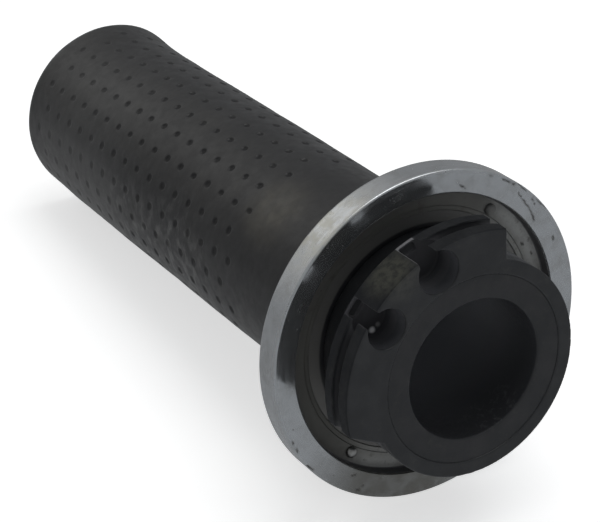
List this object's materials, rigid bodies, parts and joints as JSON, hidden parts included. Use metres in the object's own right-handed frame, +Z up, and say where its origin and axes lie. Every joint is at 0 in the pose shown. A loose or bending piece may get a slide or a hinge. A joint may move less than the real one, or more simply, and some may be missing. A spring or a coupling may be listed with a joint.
{
  "type": "throttle grip",
  "caption": "Right-hand motorcycle throttle grip: rubber sleeve on a plastic tube, chrome flange cup and a two-cable drum.",
  "frame": {"origin": "on the bore's axis, halfway along the grip: the centre of the bounding box", "axes": "+X along the bore's axis, from the closed outer end to the cable drum; +Z up, with the drum's sector at the upper left when the drum's face is looked at"},
  "size_m": [0.125, 0.0538, 0.0538],
  "materials": {
    "rubber_grip": "moulded, satin",
    "throttle_tube": "moulded, satin",
    "cable_drum": "moulded, satin",
    "chrome_flange": "worn chrome plate",
    "rivet": "plain"
  },
  "bodies": {
    "root": {"rubber_grip": "rubber_grip", "throttle_tube": "throttle_tube", "cable_drum": "cable_drum", "chrome_flange": "chrome_flange", "flange_rivet_1": "rivet", "flange_rivet_2": "rivet"}
  },
  "joints": []
}
